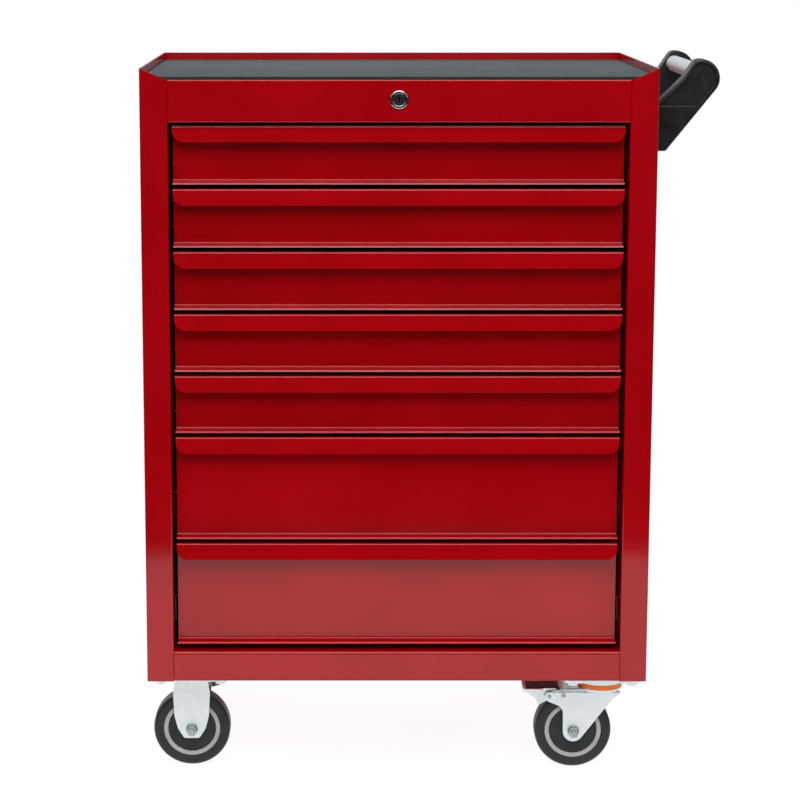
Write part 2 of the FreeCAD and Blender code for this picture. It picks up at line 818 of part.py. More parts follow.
def bracket_outline():
    """Side outline of a handle bracket, as (reach from the side panel, height, radius)."""
    foot_to_head_x = HEAD_REACH - BRACKET_FOOT_WIDTH
    foot_to_head_z = HEAD_Z - BRACKET_FOOT_Z
    distance = math.hypot(foot_to_head_x, foot_to_head_z)
    slope = math.atan2(foot_to_head_z, foot_to_head_x) - math.asin(HEAD_RADIUS / distance)
    top = HEAD_Z + HEAD_RADIUS
    corner_x = BRACKET_FOOT_WIDTH + (top - BRACKET_FOOT_Z) / math.tan(slope)
    return [
        (0, BRACKET_FOOT_Z, 0),
        (BRACKET_FOOT_WIDTH, BRACKET_FOOT_Z, BRACKET_FOOT_CORNER),
        (corner_x, top, HEAD_RADIUS),
        (BRACKET_CREST_REACH, top, BRACKET_CREST_CORNER),
        (BRACKET_NECK_REACH, BRACKET_NECK_Z, BRACKET_NECK_CORNER),
        (0, BRACKET_TOP_Z, 0),
    ]


def bracket_arm(corners, outer, inner):
    """The solid arm between two values on Y, with the edges of its outer face rounded."""
    arm = plate_xz(corners, outer, inner)
    edges = []
    for edge in arm.Edges:
        bounds = edge.BoundBox
        if bounds.YMax < outer + FIT and bounds.XMax > SIDE_X + FIT:
            edges.append(edge)
    return arm.makeFillet(BRACKET_ROUNDING, edges)


def handle_bracket():
    """Front bracket: a moulded arm with a sunk outer face and a socket for the tube."""
    outer = -HANDLE_LENGTH / 2
    inner = outer + BRACKET_THICKNESS
    corners = [(SIDE_X + reach, z, radius) for reach, z, radius in bracket_outline()]
    face = rounded_face(
        [(FreeCAD.Vector(x, outer - SHEET, z), radius) for x, z, radius in corners]
    )
    sunk = face.makeOffset2D(-RECESS_BORDER).extrude(Y_AXIS * (RECESS_DEPTH + SHEET))
    sunk = sunk.common(
        box(
            SIDE_X,
            SIDE_X + 2 * HANDLE_REACH,
            outer - 2 * SHEET,
            inner,
            RECESS_Z,
            HEAD_Z + 2 * HEAD_RADIUS,
        )
    )
    socket = rod_y(
        TUBE_RADIUS + FIT / 4, SIDE_X + TUBE_REACH, TUBE_Z, inner - SOCKET_DEPTH, inner + SHEET
    )
    drills = []
    for y, z in handle_screw_places():
        start = FreeCAD.Vector(SIDE_X - SHEET, y, z)
        drills.append(rod(HANDLE_SCREW_RADIUS, start, start + X_AXIS * (HANDLE_SCREW_LENGTH + 2 * SHEET)))
    return bracket_arm(corners, outer, inner).cut([sunk, socket] + drills)


def handle_tube():
    """The grip: a round tube held in both brackets."""
    reach = HANDLE_LENGTH / 2 - BRACKET_THICKNESS + SOCKET_DEPTH
    x = SIDE_X + TUBE_REACH
    tube = rod_y(TUBE_RADIUS, x, TUBE_Z, -reach, reach)
    return tube.cut(rod_y(TUBE_RADIUS - TUBE_WALL, x, TUBE_Z, -reach - SHEET, reach + SHEET))


def handle_screws():
    """Four screws, put in from inside the cabinet."""
    screws = []
    for y, z in handle_screw_places():
        seat = FreeCAD.Vector(SIDE_X - SHEET, y, z)
        shank = rod(HANDLE_SCREW_RADIUS, seat - X_AXIS, seat + X_AXIS * HANDLE_SCREW_LENGTH)
        head = rod(2 * HANDLE_SCREW_RADIUS, seat - X_AXIS * HANDLE_SCREW_HEAD, seat)
        screws.append(joined([shank, head]))
    return Part.makeCompound(screws)


# ---------------------------------------------------------------- casters

def caster_plate(z0, z1):
    """Top plate of a caster, with its four bolt holes, about the caster's centre."""
    x = PLATE_X / 2
    y = PLATE_Y / 2
    corners = [(-x, -y), (x, -y), (x, y), (-x, y)]
    plate = plate_xy([(px, py, PLATE_CORNER) for px, py in corners], z0, z1)
    drills = []
    for side in (-1, 1):
        for end in (-1, 1):
            drills.append(
                rod_z(BOLT_HOLE, side * HOLES_X / 2, end * HOLES_Y / 2, z0 - SHEET, z1 + SHEET)
            )
    return plate.cut(drills)


def caster_bolts():
    """Sixteen bolts, four to a caster, with their heads below and nuts inside the cabinet."""
    bolts = []
    for x, y in caster_holes():
        seat = FreeCAD.Vector(x, y, FLANGE_TOP + SHEET)
        under = FreeCAD.Vector(x, y, PLATE_BOTTOM)
        shank = rod_z(BOLT_RADIUS, x, y, PLATE_BOTTOM - SHEET, seat.z + NUT_HEIGHT + THREAD_END)
        nut = hexagon(BOLT_FLATS, seat, seat + Z_AXIS * NUT_HEIGHT)
        head = hexagon(BOLT_FLATS, under - Z_AXIS * BOLT_HEAD, under)
        bolts.append(joined([shank, head, nut]))
    return Part.makeCompound(bolts)


def over_axle(outline):
    """A side outline moved up from the axle to its own height over the floor."""
    return [(x, WHEEL_RADIUS + rise, radius) for x, rise, radius in outline]


def bent_fork(side, top):
    """Two legs and the web that joins them, bent from one plate and cut to a side shape."""
    middle = LEG_INNER + LEG_SHEET / 2
    web = top - LEG_SHEET / 2
    path = [(-middle, 0), (-middle, web), (middle, web), (middle, 0)]
    channel = profile_yz(path, PLATE_X, LEG_SHEET, LEG_BEND)
    return channel.common(side)


def axle_bolt():
    """Axle with head, nut and washers, through both legs of a fork."""
    z = WHEEL_RADIUS
    washer_face = LEG_OUTER + WASHER_THICKNESS
    nut_face = washer_face + NUT_HEIGHT
    shank = rod_y(AXLE_RADIUS, 0, z, -nut_face - THREAD_END, washer_face)
    washers = [
        rod_y(WASHER_RADIUS, 0, z, -washer_face, -LEG_OUTER),
        rod_y(WASHER_RADIUS, 0, z, LEG_OUTER, washer_face),
    ]
    nut = hexagon(BOLT_FLATS, FreeCAD.Vector(0, -nut_face, z), FreeCAD.Vector(0, -washer_face, z))
    head = hexagon(
        BOLT_FLATS, FreeCAD.Vector(0, washer_face, z), FreeCAD.Vector(0, washer_face + BOLT_HEAD, z)
    )
    return joined([shank, nut, head] + washers)


def fixed_caster_frame():
    """Plate and fork of a fixed caster, welded into one piece."""
    right = over_axle(FIXED_LEG_SIDE)
    left = [(-x, z, radius) for x, z, radius in reversed(right)]
    side = plate_xz(right + left, -2 * LEG_OUTER, 2 * LEG_OUTER)
    frame = joined([caster_plate(PLATE_BOTTOM, POST_BOTTOM), bent_fork(side, PLATE_BOTTOM)])
    return frame.cut(rod_y(AXLE_RADIUS, 0, WHEEL_RADIUS, -2 * LEG_OUTER, 2 * LEG_OUTER))


def swivel_plate():
    """Plate of a swivel caster, with the raceway dish and king pin under it."""
    plate = caster_plate(PLATE_BOTTOM, POST_BOTTOM)
    dish = rod_z(DISH_RADIUS, 0, 0, DISH_BOTTOM, PLATE_BOTTOM)
    pin = rod_z(KING_PIN_RADIUS, 0, 0, KING_PIN_LOW, DISH_BOTTOM + SHEET)
    head = rod_z(KING_HEAD_RADIUS, 0, 0, KING_HEAD_LOW, CROWN_TOP - CROWN_THICKNESS - FIT)
    return joined([plate, dish, pin, head])


def swivel_side():
    """Side shape of a swivel fork: a leaning leg down to a round boss, and the pedal's arm."""
    lean = math.radians(FORK_LEAN)
    tangent_x = -TRAIL + BOSS_RADIUS * math.sin(lean)
    tangent_z = WHEEL_RADIUS - BOSS_RADIUS * math.cos(lean)
    leg = [
        (tangent_x, tangent_z, 0),
        (-TRAIL, WHEEL_RADIUS, 0),
        (-TRAIL - BOSS_RADIUS, WHEEL_RADIUS, 0),
    ]
    outline = over_axle(SWIVEL_LEG_FRONT) + leg + over_axle(SWIVEL_LEG_ARM)
    side = plate_xz(outline, -2 * LEG_OUTER, 2 * LEG_OUTER)
    boss = rod_y(BOSS_RADIUS, -TRAIL, WHEEL_RADIUS, -2 * LEG_OUTER, 2 * LEG_OUTER)
    return joined([side, boss])


def swivel_fork():
    """Fork of a swivel caster: two cranked legs under a round crown."""
    crown_low = CROWN_TOP - CROWN_THICKNESS
    far = 2 * LEG_OUTER
    crown = rod_z(CROWN_RADIUS, 0, 0, crown_low, CROWN_TOP)
    fork = joined([crown, bent_fork(swivel_side(), CROWN_TOP)])
    king_hole = rod_z(KING_PIN_RADIUS + RUNNING, 0, 0, crown_low - SHEET, CROWN_TOP + SHEET)
    axle_hole = rod_y(AXLE_RADIUS, -TRAIL, WHEEL_RADIUS, -far, far)
    pedal_hole = rod_y(PEDAL_PIN_RADIUS, PEDAL_PIVOT_X, PEDAL_PIVOT_Z, -far, far)
    pedal_gap = box(-PLATE_X, PEDAL_GAP_X, -LEG_INNER, LEG_INNER, WHEEL_RADIUS, 2 * CROWN_TOP)
    return fork.cut([king_hole, axle_hole, pedal_hole, pedal_gap])


def seal_ring():
    """Coloured dust seal between a swivel fork's crown and the dish above it."""
    ring = rod_z(CROWN_RADIUS, 0, 0, CROWN_TOP, SEAL_TOP)
    return ring.cut(rod_z(2 * KING_PIN_RADIUS, 0, 0, CROWN_TOP - SHEET, SEAL_TOP + SHEET))


def fork_pins():
    """Wheel axle and brake pedal pin, both fixed in a swivel fork."""
    reach = LEG_OUTER + WASHER_THICKNESS
    pin = rod_y(PEDAL_PIN_RADIUS, PEDAL_PIVOT_X, PEDAL_PIVOT_Z, -reach, reach)
    return Part.makeCompound([moved(axle_bolt(), -TRAIL, 0, 0), pin])


def pedal_plate(low):
    """The pedal's flat top, wide at the toe and narrow between the fork's legs."""
    wide = PEDAL_HALF_WIDTH
    neck = PEDAL_NECK_HALF_WIDTH
    neck_corner = PEDAL_CORNER / 2
    half = [
        (-PEDAL_REACH, -wide, PEDAL_CORNER),
        (PEDAL_NECK_X, -wide, neck_corner),
        (PEDAL_NECK_X, -neck, 0),
        (PEDAL_HEEL_X, -neck, 0),
    ]
    other_half = [(x, -y, radius) for x, y, radius in reversed(half)]
    return plate_xy(half + other_half, low, PEDAL_TOP)


def brake_pedal():
    """Foot pedal with two cheeks on the pedal pin and a shoe over the tyre."""
    cheek_inner = CHEEK_OUTER - PEDAL_SHEET
    low = PEDAL_TOP - PEDAL_SHEET
    toe = [
        (PEDAL_HEEL_X, low + SHEET, 0),
        (-PEDAL_REACH + PEDAL_SHEET, low + SHEET, 0),
        (-PEDAL_REACH + 2 * PEDAL_SHEET, low - PEDAL_LIP, PEDAL_CORNER / 2),
    ]
    cheek = plate_xz(toe + over_axle(PEDAL_CHEEK_SIDE), -CHEEK_OUTER, -cheek_inner)
    lip_half = PEDAL_HALF_WIDTH - PEDAL_CORNER
    lip = box(
        -PEDAL_REACH, -PEDAL_REACH + PEDAL_SHEET, -lip_half, lip_half, low - PEDAL_LIP, PEDAL_TOP
    )
    shoe = plate_xz(over_axle(BRAKE_SHOE_SIDE), -cheek_inner, cheek_inner)
    tie = plate_xz(over_axle(SHOE_TIE_SIDE), -cheek_inner - SHEET, cheek_inner + SHEET)
    pedal = joined([pedal_plate(low), lip, cheek, mirrored_y(cheek), shoe, tie])
    pin_hole = rod_y(
        PEDAL_PIN_RADIUS + RUNNING, PEDAL_PIVOT_X, PEDAL_PIVOT_Z, -PEDAL_HALF_WIDTH, PEDAL_HALF_WIDTH
    )
    return pedal.cut(pin_hole)


def tyre():
    """Solid tread ring of a wheel, about its own centre."""
    half = WHEEL_WIDTH / 2
    ring = rod_y(WHEEL_RADIUS, 0, 0, -half, half)
    shoulders = [edge for edge in ring.Edges if edge.BoundBox.YLength < 0.1]
    ring = ring.makeFillet(TREAD_CORNER, shoulders)
    return ring.cut(rod_y(RIM_RADIUS, 0, 0, -WHEEL_WIDTH, WHEEL_WIDTH))


def wheel_core():
    """Moulded centre of a wheel: rim band, sunk disc and bored hub."""
    rim_half = WHEEL_WIDTH / 2 - SHEET
    hub_half = LEG_INNER - 2 * FIT
    rim = rod_y(RIM_RADIUS, 0, 0, -rim_half, rim_half)
    sunk = []
    for side in (-1, 1):
        sunk.append(
            rod_y(DISC_RADIUS, 0, 0, side * (WHEEL_WIDTH / 2 - DISC_SINK), side * WHEEL_WIDTH)
        )
    hub = rod_y(HUB_RADIUS, 0, 0, -hub_half, hub_half)
    bore = rod_y(AXLE_RADIUS + RUNNING, 0, 0, -WHEEL_WIDTH, WHEEL_WIDTH)
    return joined([rim.cut(sunk), hub]).cut(bore)


# ---------------------------------------------------------------- output

def export(name, shape):
    """Writes one node, moved so that the origin is under the middle of the whole object."""
    placed = shape.copy()
    placed.translate(ORIGIN_SHIFT)
    placed.exportStep("parts/" + name + ".step")


def export_cabinet():
    """Everything that is fixed to the cabinet."""
    export("left_side_panel", left_side_panel())
    export("right_side_panel", right_side_panel())
    export("back_panel", back_panel())
    export("top_panel", top_panel())
    export("base_panel", base_panel())
    export("slide_uprights", slide_uprights())
    export("outer_slides", outer_slides())
    export("top_mat", top_mat())


def export_lock():
    """Lock, its shaft and the bar that it moves."""
    export("lock_bezel", lock_bezel())
    export("lock_barrel", lock_barrel())
    export("lock_shaft", lock_shaft())
    export("lock_bar", lock_bar())
    export("lock_bar_guides", lock_bar_guides())


def export_handle():
    """Push handle on the right side."""
    front = handle_bracket()
    export("front_handle_bracket", front)
    export("rear_handle_bracket", mirrored_y(front))
    export("handle_tube", handle_tube())
    export("handle_screws", handle_screws())


def export_drawers():
    """Front, tray and slides of each drawer."""
    for number, (top, bottom) in enumerate(drawer_fronts(), start=1):
        name = "drawer_" + str(number)
        export(name + "_front", drawer_front(top, bottom))
        export(name + "_tray", drawer_tray(top, bottom))
        export(name + "_slides", inner_slides(bottom))


def export_fixed_casters():
    """The two fixed casters on the left."""
    frames = []
    axles = []
    for end in (-1, 1):
        frames.append(moved(fixed_caster_frame(), -CASTER_X, end * FIXED_CASTER_Y, 0))
        axles.append(moved(axle_bolt(), -CASTER_X, end * FIXED_CASTER_Y, 0))
    export("fixed_caster_frames", Part.makeCompound(frames))
    export("fixed_caster_axles", Part.makeCompound(axles))


def export_swivel_casters():
    """The two braked swivel casters on the right."""
    plates = []
    for end, place in ((-1, "front_right"), (1, "rear_right")):
        y = end * SWIVEL_CASTER_Y
        plates.append(moved(swivel_plate(), CASTER_X, y, 0))
        export(place + "_fork", moved(swivel_fork(), CASTER_X, y, 0))
        export(place + "_seal", moved(seal_ring(), CASTER_X, y, 0))
        export(place + "_pins", moved(fork_pins(), CASTER_X, y, 0))
        export(place + "_pedal", moved(brake_pedal(), CASTER_X, y, 0))
    export("swivel_caster_plates", Part.makeCompound(plates))


def export_wheels():
    """The four wheels, each a tyre on a core."""
    sides = (("left", -CASTER_X, FIXED_CASTER_Y), ("right", CASTER_X - TRAIL, SWIVEL_CASTER_Y))
    for end, end_name in ((-1, "front"), (1, "rear")):
        for side_name, x, y in sides:
            name = end_name + "_" + side_name
            export(name + "_tyre", moved(tyre(), x, end * y, WHEEL_RADIUS))
            export(name + "_core", moved(wheel_core(), x, end * y, WHEEL_RADIUS))


def main():
    os.makedirs("parts", exist_ok=True)
    export_cabinet()
    export_lock()
    export_handle()
    export_drawers()
    export_fixed_casters()
    export_swivel_casters()
    export_wheels()
    export("caster_bolts", caster_bolts())


main()
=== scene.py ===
import math

import bmesh
import bpy
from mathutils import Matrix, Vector


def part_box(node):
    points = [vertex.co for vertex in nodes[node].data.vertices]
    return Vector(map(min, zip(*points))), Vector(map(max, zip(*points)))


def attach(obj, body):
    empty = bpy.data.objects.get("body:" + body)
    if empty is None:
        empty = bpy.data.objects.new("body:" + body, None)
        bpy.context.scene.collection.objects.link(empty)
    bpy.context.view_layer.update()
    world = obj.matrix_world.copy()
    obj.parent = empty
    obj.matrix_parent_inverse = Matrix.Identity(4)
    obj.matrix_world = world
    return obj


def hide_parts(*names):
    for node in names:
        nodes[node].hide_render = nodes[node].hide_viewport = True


# Looks of the rolling tool box, in metres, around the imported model. The CAD nodes keep
# their own shape and get a finish and softened edges. The top mat and the wheels are made
# here again with finer detail, in the places of their nodes. The pedal pads and the brake
# screws are made only here. Every piece is placed from the frame's own boxes.

MM = 0.001
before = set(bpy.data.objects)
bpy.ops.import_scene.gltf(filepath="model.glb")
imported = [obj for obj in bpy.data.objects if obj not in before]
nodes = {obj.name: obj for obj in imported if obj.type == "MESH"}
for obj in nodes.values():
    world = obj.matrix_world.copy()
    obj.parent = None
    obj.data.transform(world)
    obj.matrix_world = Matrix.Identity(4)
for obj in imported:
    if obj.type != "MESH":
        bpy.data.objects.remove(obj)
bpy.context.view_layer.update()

WHEELS = ("front_left", "rear_left", "front_right", "rear_right")
DRAWER_COUNT = sum(1 for name in nodes if name.endswith("_tray"))

RED_NODES = ["left_side_panel", "right_side_panel", "back_panel", "top_panel", "base_panel"]
RED_NODES += ["slide_uprights"]
RED_NODES += [f"drawer_{n}_{part}" for n in range(1, DRAWER_COUNT + 1) for part in ("front", "tray")]
SLIDE_NODES = ["outer_slides", "lock_bar", "lock_bar_guides", "lock_shaft"]
SLIDE_NODES += [f"drawer_{n}_slides" for n in range(1, DRAWER_COUNT + 1)]
ZINC_NODES = ["fixed_caster_frames", "swivel_caster_plates", "caster_bolts"]
ZINC_NODES += ["front_right_fork", "rear_right_fork"]
FASTENER_NODES = ["fixed_caster_axles", "front_right_pins", "rear_right_pins", "handle_screws"]
BRACKET_NODES = ["front_handle_bracket", "rear_handle_bracket"]
SEAL_NODES = ["front_right_seal", "rear_right_seal"]
PEDAL_NODES = ["front_right_pedal", "rear_right_pedal"]

# How CAD nodes are cleaned and rounded.
WELD_REACH = 0.01 * MM
FLAT_ANGLE = math.radians(0.5)
SHARP_ANGLE = math.radians(32)

# Wheels: what the frame's boxes don't say.
SHOULDER = 6 * MM
STEP = 0.6 * MM
RING_WIDTH = 6 * MM
RING_STEP = 3 * MM
FACE_SUNK = 0.8 * MM
DISC_SUNK = 1.6 * MM
DISC_EDGE = 4 * MM
HUB_RADIUS = 11 * MM
HUB_GROOVE = 2 * MM
HUB_BORE = 4.05 * MM

# Top mat: grey face with ribs from front to back, on a near-black block whose front shows as a dark
# band, partly the mat's edge and partly painted shade.
MAT_FACE = 1.0 * MM
MAT_PITCH = 3.0 * MM
MAT_RIB = 0.7 * MM
MAT_ROUNDING = 0.8 * MM
POINTS_PER_MAT_RIB = 6

# Pedal pad: an inlay over the toe end, with ribs across. It reaches far back, so its dark far part is
# painted shade between the pedal and the fork.
PAD_START = 4 * MM
# The pad's far end reaches into the shade toward the fork: that part is painted shade.
PAD_END_INTO_SHADE = 49.5 * MM
PAD_HALF_WIDTH = 15 * MM
PAD_RISE = 1.2 * MM
PAD_SUNK = 0.3 * MM
PAD_ROUNDING = 1.0 * MM
PAD_GROOVE = 0.6 * MM
PAD_RIBS = 9
POINTS_PER_PAD_RIB = 4

# Studio: the point that every light faces, and the camera's place, angle and framing.
LIT_POINT = Vector((0, 0, 0.55))
CAMERA_LEFT = 0.076
CAMERA_AWAY = 3.2
CAMERA_HEIGHT = 1.11
CAMERA_DOWN = 10.17
CAMERA_LENS = 111.3
CAMERA_SHIFT_X = 0.0748
CAMERA_SHIFT_Y = -0.02

# Brake screw: rings of (radius, height from the fork's top) in mm, from its foot up.
SCREW_RINGS = ((1.6, -9.0), (3.0, -8.5), (3.0, -6.0), (1.9, -5.8), (1.9, 3.5), (1.5, 4.0))
SCREW_SIDES = 12
SCREW_FROM_PIN = 20.8 * MM
SCREW_BEFORE_FORK = 1.2 * MM


# ---------------------------------------------------------------- material helpers

def new_material(name):
    """An empty node material with a Principled shader."""
    material = bpy.data.materials.new(name)
    material.use_nodes = True
    tree = material.node_tree
    tree.nodes.clear()
    shader = tree.nodes.new("ShaderNodeBsdfPrincipled")
    output = tree.nodes.new("ShaderNodeOutputMaterial")
    tree.links.new(shader.outputs["BSDF"], output.inputs["Surface"])
    return material, tree, shader


def place_coords(tree, stretch=(1, 1, 1)):
    """Object coordinates, stretched, so that a texture rides with its piece."""
    coords = tree.nodes.new("ShaderNodeTexCoord")
    mapping = tree.nodes.new("ShaderNodeMapping")
    mapping.inputs["Scale"].default_value = stretch
    tree.links.new(coords.outputs["Object"], mapping.inputs["Vector"])
    return mapping.outputs["Vector"]


def noise(tree, scale, detail=2.0, stretch=(1, 1, 1)):
    """A noise texture's value; scale is in cells per metre."""
    texture = tree.nodes.new("ShaderNodeTexNoise")
    texture.inputs["Scale"].default_value = scale
    texture.inputs["Detail"].default_value = detail
    tree.links.new(place_coords(tree, stretch), texture.inputs["Vector"])
    return texture.outputs["Fac"]


def cells(tree, scale, feature="F1"):
    """A cell texture's distance; scale is in cells per metre."""
    texture = tree.nodes.new("ShaderNodeTexVoronoi")
    texture.feature = feature
    texture.inputs["Scale"].default_value = scale
    tree.links.new(place_coords(tree), texture.inputs["Vector"])
    return texture.outputs["Distance"]


def remap(tree, value, low, high, start=0.3, end=0.7):
    """Stretches a texture's middle range over low to high."""
    node = tree.nodes.new("ShaderNodeMapRange")
    node.inputs["From Min"].default_value = start
    node.inputs["From Max"].default_value = end
    node.inputs["To Min"].default_value = low
    node.inputs["To Max"].default_value = high
    tree.links.new(value, node.inputs["Value"])
    return node.outputs["Result"]


def two_colours(tree, value, first, second, start=0.35, end=0.65):
    """A colour that goes from first to second as the value rises."""
    ramp = tree.nodes.new("ShaderNodeValToRGB")
    ramp.color_ramp.elements[0].position = start
    ramp.color_ramp.elements[0].color = (*first, 1)
    ramp.color_ramp.elements[1].position = end
    ramp.color_ramp.elements[1].color = (*second, 1)
    tree.links.new(value, ramp.inputs["Fac"])
    return ramp.outputs["Color"]


def bump(tree, shader, height, depth, strength=1.0, under=None):
    """Bump of that depth in metres, on top of another bump if there is one."""
    node = tree.nodes.new("ShaderNodeBump")
    node.inputs["Strength"].default_value = strength
    node.inputs["Distance"].default_value = depth
    tree.links.new(height, node.inputs["Height"])
    if under is not None:
        tree.links.new(under, node.inputs["Normal"])
    tree.links.new(node.outputs["Normal"], shader.inputs["Normal"])
    return node.outputs["Normal"]


# ---------------------------------------------------------------- materials

def powder_coat():
    """Glossy red powder coat: orange-peel skin, faint tone drift."""
    material, tree, shader = new_material("red_powder_coat")
    tone = noise(tree, scale=9, detail=3)
    colour = two_colours(tree, tone, (0.39, 0.0008, 0.0035), (0.44, 0.0012, 0.005))
    tree.links.new(colour, shader.inputs["Base Color"])
    rough = remap(tree, noise(tree, scale=60, detail=3), low=0.06, high=0.09)
    tree.links.new(rough, shader.inputs["Roughness"])
    shader.inputs["IOR"].default_value = 1.5
    peel = bump(tree, shader, noise(tree, scale=420), depth=0.03 * MM, strength=0.3)
    skin = noise(tree, scale=2200, detail=1)
    bump(tree, shader, skin, depth=0.005 * MM, strength=0.3, under=peel)
    return material


def blue_zinc(name, dark, light):
    """Zinc plate with a cold tint and a faint spangle."""
    material, tree, shader = new_material(name)
    shader.inputs["Metallic"].default_value = 1.0
    colour = two_colours(tree, noise(tree, scale=45, detail=4), dark, light)
    tree.links.new(colour, shader.inputs["Base Color"])
    rough = remap(tree, cells(tree, scale=260), low=0.26, high=0.42, start=0, end=0.6)
    tree.links.new(rough, shader.inputs["Roughness"])
    bump(tree, shader, noise(tree, scale=900, detail=3), depth=0.02 * MM, strength=0.5)
    return material


def slide_steel():
    """Rolled strip coloured dark as painted shade, so the slides stay black in the gaps beside the
    drawers: drawn lines along its length.
    """
    material, tree, shader = new_material("slide_steel_dark_as_painted_shade")
    shader.inputs["Metallic"].default_value = 1.0
    grain = noise(tree, scale=300, detail=3, stretch=(1, 0.04, 1))
    # Painted shade: the steel's colour is kept dark so the slides read black in the shaded gaps beside
    # the drawers.
    colour = two_colours(tree, grain, (0.11, 0.112, 0.115), (0.19, 0.192, 0.195))
    tree.links.new(colour, shader.inputs["Base Color"])
    tree.links.new(remap(tree, grain, low=0.34, high=0.48), shader.inputs["Roughness"])
    scratches = noise(tree, scale=1500, stretch=(1, 0.03, 1))
    bump(tree, shader, scratches, depth=0.01 * MM, strength=0.5)
    return material


def chrome():
    """Polished chrome with the faintest haze."""
    material, tree, shader = new_material("polished_chrome")
    shader.inputs["Metallic"].default_value = 1.0
    haze = noise(tree, scale=300)
    colour = two_colours(tree, haze, (0.74, 0.75, 0.77), (0.80, 0.81, 0.82))
    tree.links.new(colour, shader.inputs["Base Color"])
    tree.links.new(remap(tree, haze, low=0.06, high=0.12), shader.inputs["Roughness"])
    return material


def grained_plastic(name, dark, light, rough, grain, depth):
    """Moulded plastic or rubber: two roughness limits, the grain's cells a metre and its depth."""
    material, tree, shader = new_material(name)
    colour = two_colours(tree, noise(tree, scale=35, detail=3), dark, light)
    tree.links.new(colour, shader.inputs["Base Color"])
    roughness = remap(tree, noise(tree, scale=90, detail=4), low=rough[0], high=rough[1])
    tree.links.new(roughness, shader.inputs["Roughness"])
    bump(tree, shader, noise(tree, grain), depth, strength=0.7)
    return material


def mat_rubber():
    """Blue-grey rubber with a fine cross weave over its ribs."""
    material, tree, shader = new_material("ribbed_mat_rubber")
    tone = noise(tree, scale=14, detail=4)
    colour = two_colours(tree, tone, (0.052, 0.063, 0.075), (0.070, 0.083, 0.096))
    tree.links.new(colour, shader.inputs["Base Color"])
    rough = remap(tree, noise(tree, scale=200, detail=3), low=0.6, high=0.75)
    tree.links.new(rough, shader.inputs["Roughness"])
    shader.inputs["Specular IOR Level"].default_value = 0.3
    weave = tree.nodes.new("ShaderNodeTexWave")
    weave.bands_direction = "Y"
    weave.inputs["Scale"].default_value = 95
    tree.links.new(place_coords(tree), weave.inputs["Vector"])
    across = bump(tree, shader, weave.outputs["Fac"], depth=0.2 * MM, strength=0.6)
    bump(tree, shader, noise(tree, scale=1600), depth=0.06 * MM, strength=0.5, under=across)
    return material


MATERIALS = {
    "red": powder_coat(),
    "zinc": blue_zinc("blue_zinc_plate", (0.74, 0.80, 0.82), (0.80, 0.85, 0.86)),
    "fastener": blue_zinc("dull_fastener_zinc", (0.34, 0.39, 0.42), (0.46, 0.51, 0.54)),
    "slide": slide_steel(),
    "chrome": chrome(),
    "lock": grained_plastic(
        "lock_barrel_black",
        dark=(0.012, 0.012, 0.013),
        light=(0.022, 0.022, 0.024),
        rough=(0.22, 0.32),
        grain=1200,
        depth=0.01 * MM,
    ),
    "bracket": grained_plastic(
        "black_moulded_plastic",
        dark=(0.006, 0.0065, 0.0075),
        light=(0.011, 0.012, 0.0135),
        rough=(0.36, 0.5),
        grain=1500,
        depth=0.05 * MM,
    ),
    "tube": grained_plastic(
        "grey_grip_tube",
        dark=(0.62, 0.66, 0.70),
        light=(0.67, 0.71, 0.75),
        rough=(0.3, 0.42),
        grain=1100,
        depth=0.02 * MM,
    ),
    "mat": mat_rubber(),
    # Near-black block under the mat's face: partly the mat's edge, partly painted shade along its
    # front.
    "mat_edge_and_shade_block": grained_plastic(
        "dark_mat_edge_and_painted_shade",
        dark=(0.010, 0.011, 0.012),
        light=(0.016, 0.018, 0.019),
        rough=(0.6, 0.75),
        grain=900,
        depth=0.03 * MM,
    ),
    "tyre": grained_plastic(
        "black_tyre_rubber",
        dark=(0.006, 0.008, 0.011),
        light=(0.011, 0.013, 0.017),
        rough=(0.42, 0.58),
        grain=700,
        depth=0.04 * MM,
    ),
    "ring": grained_plastic(
        "grey_wheel_ring",
        dark=(0.38, 0.375, 0.38),
        light=(0.44, 0.43, 0.435),
        rough=(0.5, 0.62),
        grain=1200,
        depth=0.03 * MM,
    ),
    "disc": grained_plastic(
        "black_wheel_disc",
        dark=(0.006, 0.008, 0.011),
        light=(0.012, 0.014, 0.018),
        rough=(0.5, 0.65),
        grain=900,
        depth=0.06 * MM,
    ),
    "seal": grained_plastic(
        "orange_dust_seal",
        dark=(1.0, 0.16, 0.001),
        light=(1.0, 0.20, 0.003),
        rough=(0.4, 0.5),
        grain=900,
        depth=0.02 * MM,
    ),
    "pedal": grained_plastic(
        "black_pedal_tread_and_shade",
        dark=(0.010, 0.008, 0.008),
        light=(0.018, 0.012, 0.012),
        rough=(0.45, 0.6),
        grain=800,
        depth=0.03 * MM,
    ),
}


# ---------------------------------------------------------------- carried-over nodes

def soften(piece, width, segments):
    """Rounds a CAD node's sharp edges a little, and evens its normals."""
    weld = piece.modifiers.new("weld", "WELD")
    weld.merge_threshold = WELD_REACH
    plan = piece.modifiers.new("flat_faces", "DECIMATE")
    plan.decimate_type = "DISSOLVE"
    plan.angle_limit = FLAT_ANGLE
    rounding = piece.modifiers.new("edges", "BEVEL")
    rounding.limit_method = "ANGLE"
    rounding.angle_limit = SHARP_ANGLE
    rounding.width = width
    rounding.segments = segments
    rounding.harden_normals = False
    evened = piece.modifiers.new("normals", "WEIGHTED_NORMAL")
    evened.keep_sharp = True


def dress(names, finish, width, segments=2):
    """Gives CAD nodes their material and softened edges."""
    for name in names:
        piece = nodes[name]
        piece.data.materials.clear()
        piece.data.materials.append(MATERIALS[finish])
        soften(piece, width, segments)


